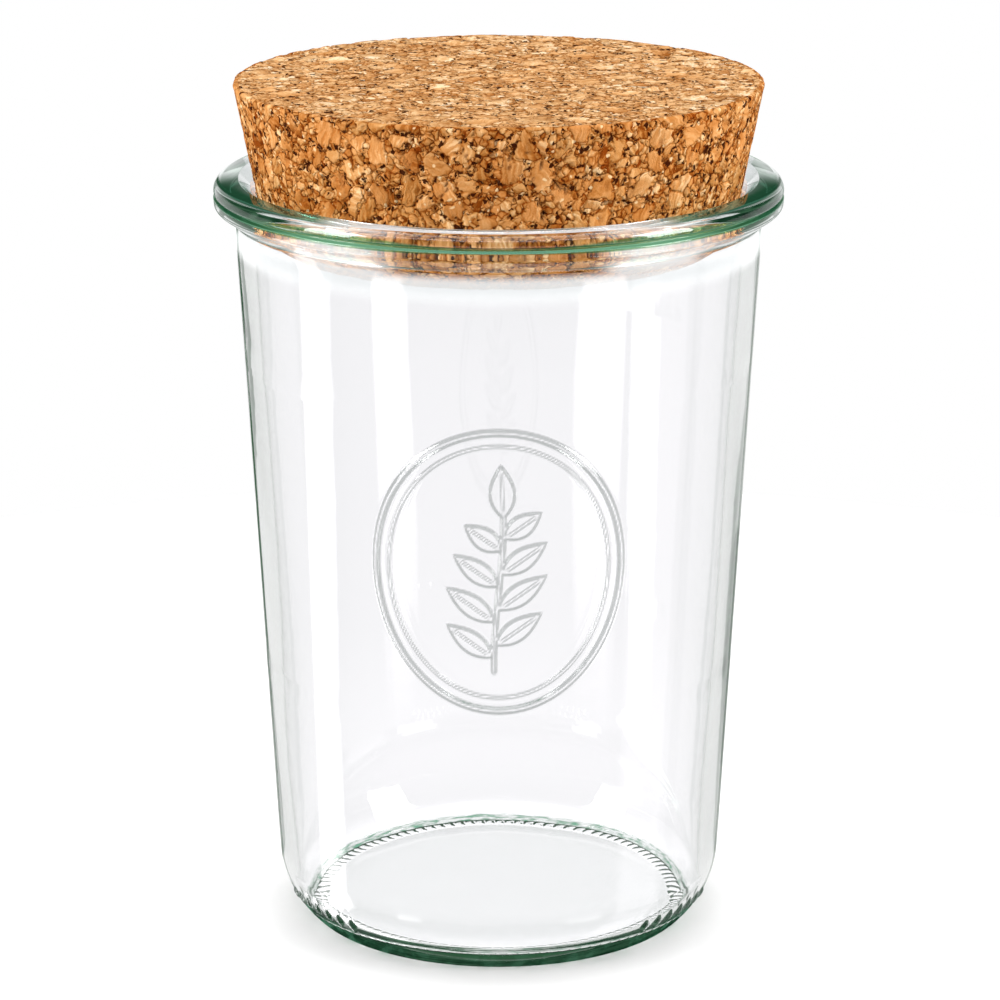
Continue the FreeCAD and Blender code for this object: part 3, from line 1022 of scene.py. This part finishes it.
def neck_light(tree, place, swell):
    """Mask of the painted pale glow in bead and neck: streaked where the band swells, all round below the
    neck.
    """
    drop = rim_drop(tree, place)
    neck, below = (window(tree, drop, upper, NECK_LOWER) for upper in (NECK_UPPER, NECK_SHOULDER))
    streak = ease(tree, streaks(tree, place, NECK_STREAK_SCALE, 3.0), *NECK_STREAKS)
    waved = times(tree, times(tree, neck, streak), ease(tree, swell, *NECK_SWELL))
    return math_node(tree, "MAXIMUM", waved, below)


def heel_painted_shade(tree, place):
    """Mask of the lowest edge of the heel, painted with dark green shade in streaks round the foot."""
    height = add(tree, "SeparateXYZ", {0: place}).outputs[2]
    low = times(tree, ease(tree, height, *HEEL_RISE), ease(tree, off_axis(tree, place), *HEEL_OUTER))
    streak = ease(tree, streaks(tree, place, HEEL_STREAK_SCALE, 2.0), *HEEL_STREAKS)
    return times(tree, low, streak)


def glass_colours(tree, place):
    """Painted shade and glow: colours the glass passes and gives off, by the masks of its medallion's slopes,
    rim, neck and heel.
    """
    edge_shade = add(tree, "Attribute", attribute_name="edge_shade").outputs["Fac"]
    swell = rim_wave(tree, place, BAND_SWELLS)
    band, neck = groove_shade_band(tree, place, swell), neck_light(tree, place, swell)
    shadow = rim_shadow(tree, place)
    passes, gives = WHITE, BLACK
    for mask, colour in ((ease(tree, edge_shade, *EDGE_SHADE_SLOPES), EDGE_SHADE_PASSES), (band, BAND_SHADE_PASSES),
                         (heel_painted_shade(tree, place), HEEL_SHADE_PASSES), (neck, NECK_VEIL_PASSES), (shadow, RIM_SHADE_PASSES)):
        passes = blend_colours(tree, mask, passes, colour)
    groove = blend_colours(tree, swell, *BAND_GLOW)
    for mask, colour in ((band, groove), (neck, NECK_GLOW), (shadow, RIM_GLOW)):
        gives = blend_colours(tree, mask, gives, colour)
    return passes, gives


def glass_material():
    """Clear pressed glass, faintly green through its depth, whose faces are a little uneven.

    Where light has been mirrored more than once, the glass gives off a painted green glow in streaks instead.
    """
    material, tree, output = new_material("clear_green_glass")
    place = place_in_mm(tree)
    waves = noise(tree, place, GLASS_WAVES, 2.0)
    bump = add(tree, "Bump", {"Strength": 1.0, "Distance": GLASS_WAVE_HEIGHT * MM, "Height": waves})
    passes, gives = glass_colours(tree, place)
    shader = add(tree, "BsdfPrincipled", {
        "Base Color": passes, "Roughness": 0.0, "IOR": GLASS_IOR, "Transmission Weight": 1.0,
        "Normal": bump.outputs[0], "Emission Color": gives, "Emission Strength": 1.0})
    path = add(tree, "LightPath")
    # Painted green glow where light has been mirrored more than once
    trapped = math_node(tree, "GREATER_THAN", path.outputs["Glossy Depth"], 1.5)
    green = ramp(tree, streaks(tree, place, TRAPPED_GLOW_SCALE, 3.0), TRAPPED_GLOW_STOPS)
    glow = add(tree, "Emission", {"Color": green, "Strength": 1.0})
    body = blend_shaders(tree, trapped, shader, glow)
    lamp_way = add(tree, "BsdfTransparent", {"Color": GLASS_SHADOW})
    surface = blend_shaders(tree, path.outputs["Is Shadow Ray"], body, lamp_way)
    tree.links.new(surface.outputs[0], output.inputs["Surface"])
    depth = add(tree, "VolumeAbsorption", {"Color": GLASS_DEPTH, "Density": GLASS_DENSITY})
    tree.links.new(depth.outputs[0], output.inputs["Volume"])
    return material


def dress(piece, materials, body, node):
    """Give a piece its materials and tie it to the frame."""
    for material in materials:
        piece.data.materials.append(material)
    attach(piece, body)
    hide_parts(node)


def make_pieces():
    """Jar and lid with their finishes: the lid's cut top is paler than its side, partly as painted light from
    above.
    """
    jar = make_jar()
    dress(jar, [glass_material()], "jar", "glass_jar")

    lid = make_lid()
    group = granule_group()
    side = cork_material("cork_side", group, **CORK_SIDE)
    face = cork_material("cork_cut_face", group, **CORK_CUT_FACE)
    dress(lid, [side, face], "lid", "cork_lid")
    centres = np.empty(len(lid.data.polygons) * 3, np.float32)
    lid.data.polygons.foreach_get("center", centres)
    x, y, z = centres.reshape(-1, 3).T / MM
    cut = (z > LID_TOP - CUT_FACE_DROP) & (np.hypot(x, y) < LID_TOP_RADIUS - CUT_FACE_INSET)
    lid.data.polygons.foreach_set("material_index", cut.astype(np.int32))


def table_material():
    """White to the camera and through glass, with the jar's shadow, kept tight by painted light away from the
    jar.

    To mirrored light it isn't there, apart from painted dark green shade in streaks under the jar, seen from
    outside.
    """
    material, tree, output = new_material("white_table")
    path = add(tree, "LightPath").outputs
    place = place_in_mm(tree)
    away = vector_value(tree, "LENGTH", place)
    # Painted light away from the jar keeps its shadow tight
    glow = times(tree, path["Is Camera Ray"], ease(tree, away, *TABLE_GLOW))
    glow = add(tree, "Emission", {"Color": WHITE, "Strength": glow})
    paint = add(tree, "BsdfDiffuse", {"Color": TABLE_PAINT})
    seen = add(tree, "AddShader", {0: glow.outputs[0], 1: paint.outputs[0]})
    # Painted light: brighter near and under the jar, seen through glass
    strength = math_node(tree, "ADD", ease(tree, away, *THROUGH_NEAR), ease(tree, away, *THROUGH_FAR))
    through = add(tree, "Emission", {"Color": THROUGH_GLASS, "Strength": strength})
    table = blend_shaders(tree, path["Is Transmission Ray"], seen, through)

    # Painted dark green shade under the jar, in streaks
    green = ramp(tree, noise(tree, place, UNDER_JAR_SHADE_SCALE, 3.0), UNDER_JAR_SHADE_STOPS)
    under_shade = add(tree, "Emission", {"Color": green, "Strength": 1.0})
    outside = math_node(tree, "LESS_THAN", path["Transmission Depth"], 0.5)
    covered = times(tree, outside, ease(tree, away, *UNDER_JAR_SHADE))
    ground = blend_shaders(tree, covered, add(tree, "BsdfTransparent"), under_shade)
    mirrored = math_node(tree, "GREATER_THAN", path["Glossy Depth"], 0.5)
    surface = blend_shaders(tree, mirrored, table, ground)
    tree.links.new(surface.outputs[0], output.inputs["Surface"])
    return material


def make_floor():
    """Round white table top under the jar."""
    angles = even_angles(TABLE_SIDES)
    level = np.full(TABLE_SIDES, TABLE_LEVEL)
    edge = np.stack([TABLE_RADIUS * np.cos(angles), TABLE_RADIUS * np.sin(angles), level], axis=-1)
    mesh = bpy.data.meshes.new("table_top")
    mesh.from_pydata(edge.tolist(), [], [list(range(TABLE_SIDES))])
    mesh.materials.append(table_material())
    floor = in_scene("table_top", mesh)


def studio_light(tree, turn, rise):
    """Light of a direction in reflections: a dim room with table, panels, lit back wall and ceiling."""
    def strip(middle, half, edge, lean=0.0):
        foot = scaled(tree, math_node(tree, "SUBTRACT", rise, PANEL_FOOT), -lean, turn)
        offset = math_node(tree, "ABSOLUTE", math_node(tree, "SUBTRACT", foot, middle))
        return ease(tree, offset, half + edge, half)

    def panel(middle, half, edge, lowest, highest, strength, lean):
        upright = window(tree, rise, (lowest - PANEL_BOTTOM_EDGE, lowest + PANEL_BOTTOM_EDGE),
                         (highest + PANEL_TOP_EDGE, highest - PANEL_TOP_EDGE))
        return times(tree, times(tree, strip(middle, half, edge, lean), upright), strength)

    table = window(tree, rise, *STUDIO_TABLE)
    light = math_node(tree, "ADD", table, ease(tree, rise, *STUDIO_CEILING))
    light = scaled(tree, window(tree, rise, *STUDIO_RING), STUDIO_RING_LIGHT, light)
    for values in PANELS:
        light = math_node(tree, "ADD", light, panel(*values))

    aside = math_node(tree, "ABSOLUTE", turn)
    lit = math_node(tree, "MAXIMUM", ease(tree, aside, *BACKDROP), window(tree, rise, *BACKDROP_BEFORE))
    wall = times(tree, ease(tree, aside, *BACKDROP_LIGHT), lit)
    for middle, dark in BACKDROP_STRIPES:
        wall = times(tree, wall, scaled(tree, strip(middle, *BACKDROP_STRIPE), -dark, 1.0))
    wall = times(tree, wall, ease(tree, rise, *BACKDROP_TOP))
    return math_node(tree, "MAXIMUM", light, wall)


def make_world():
    """White studio: white to the camera and straight through glass, a dim room with panels in reflections."""
    world = bpy.data.worlds.new("studio")
    bpy.context.scene.world = world
    world.use_nodes = True
    tree = world.node_tree
    tree.nodes.clear()
    way = add(tree, "TexCoord").outputs["Generated"]
    up = add(tree, "SeparateXYZ", {0: way}).outputs[2]
    rise = math_node(tree, "DEGREES", math_node(tree, "ARCSINE", up))
    light = studio_light(tree, math_node(tree, "DEGREES", azimuth(tree, way)), rise)
    lit = add(tree, "CombineColor", {0: light, 1: light, 2: light}).outputs[0]
    unlit = math_node(tree, "SUBTRACT", 1.0, light, clamp=True)
    mirrored = blend_colours(tree, 1.0, lit, vector_node(tree, "SCALE", STUDIO_SHADE[:3], unlit), "ADD")
    below, above = ease(tree, rise, *STUDIO_PALE_BELOW), ease(tree, rise, *STUDIO_PALE_ABOVE)
    pale = math_node(tree, "MAXIMUM", below, above)
    through = blend_colours(tree, pale, STUDIO_SHADE, THROUGH_GLASS)
    path = add(tree, "LightPath").outputs
    by_glossy = math_node(tree, "GREATER_THAN", path["Glossy Depth"], 0.5)
    by_diffuse = math_node(tree, "GREATER_THAN", path["Diffuse Depth"], 0.5)
    seen = blend_colours(tree, by_glossy, through, mirrored)
    seen = blend_colours(tree, by_diffuse, seen, STUDIO_FILL)
    seen = blend_colours(tree, path["Is Camera Ray"], seen, WHITE)
    shader = add(tree, "Background", {"Color": seen, "Strength": 1.0})
    tree.links.new(shader.outputs[0], add(tree, "OutputWorld").inputs["Surface"])


def add_lamp(name, place, size, watts):
    """Rectangular soft lamp aimed at the middle of the jar."""
    data = bpy.data.lights.new(name, "AREA")
    data.shape = "RECTANGLE"
    data.size, data.size_y = size
    data.energy = watts
    lamp = in_scene(name, data)
    lamp.location = place
    aim = np.array(LAMP_TARGET) - np.array(place)
    lamp.rotation_euler = (math.atan2(math.hypot(aim[0], aim[1]), -aim[2]), 0.0,
                           math.atan2(aim[1], aim[0]) - math.pi / 2)
    lamp.visible_camera = False


def make_camera():
    """Long lens a little above the jar, looking slightly down on it."""
    data = bpy.data.cameras.new("camera")
    data.sensor_width = CAMERA_SENSOR
    data.lens = CAMERA_LENS
    data.clip_start, data.clip_end = CAMERA_CLIP
    camera = in_scene("camera", data)
    camera.location = CAMERA_PLACE
    camera.rotation_euler = (math.radians(90.0 - CAMERA_PITCH), 0.0, 0.0)
    bpy.context.scene.camera = camera


make_pieces()
make_floor()
make_world()
for lamp in LAMPS:
    add_lamp(*lamp)
make_camera()
scene = bpy.context.scene
scene.view_settings.view_transform = "Standard"
scene.cycles.max_bounces = 24
scene.cycles.transmission_bounces = 24
scene.cycles.glossy_bounces = 16
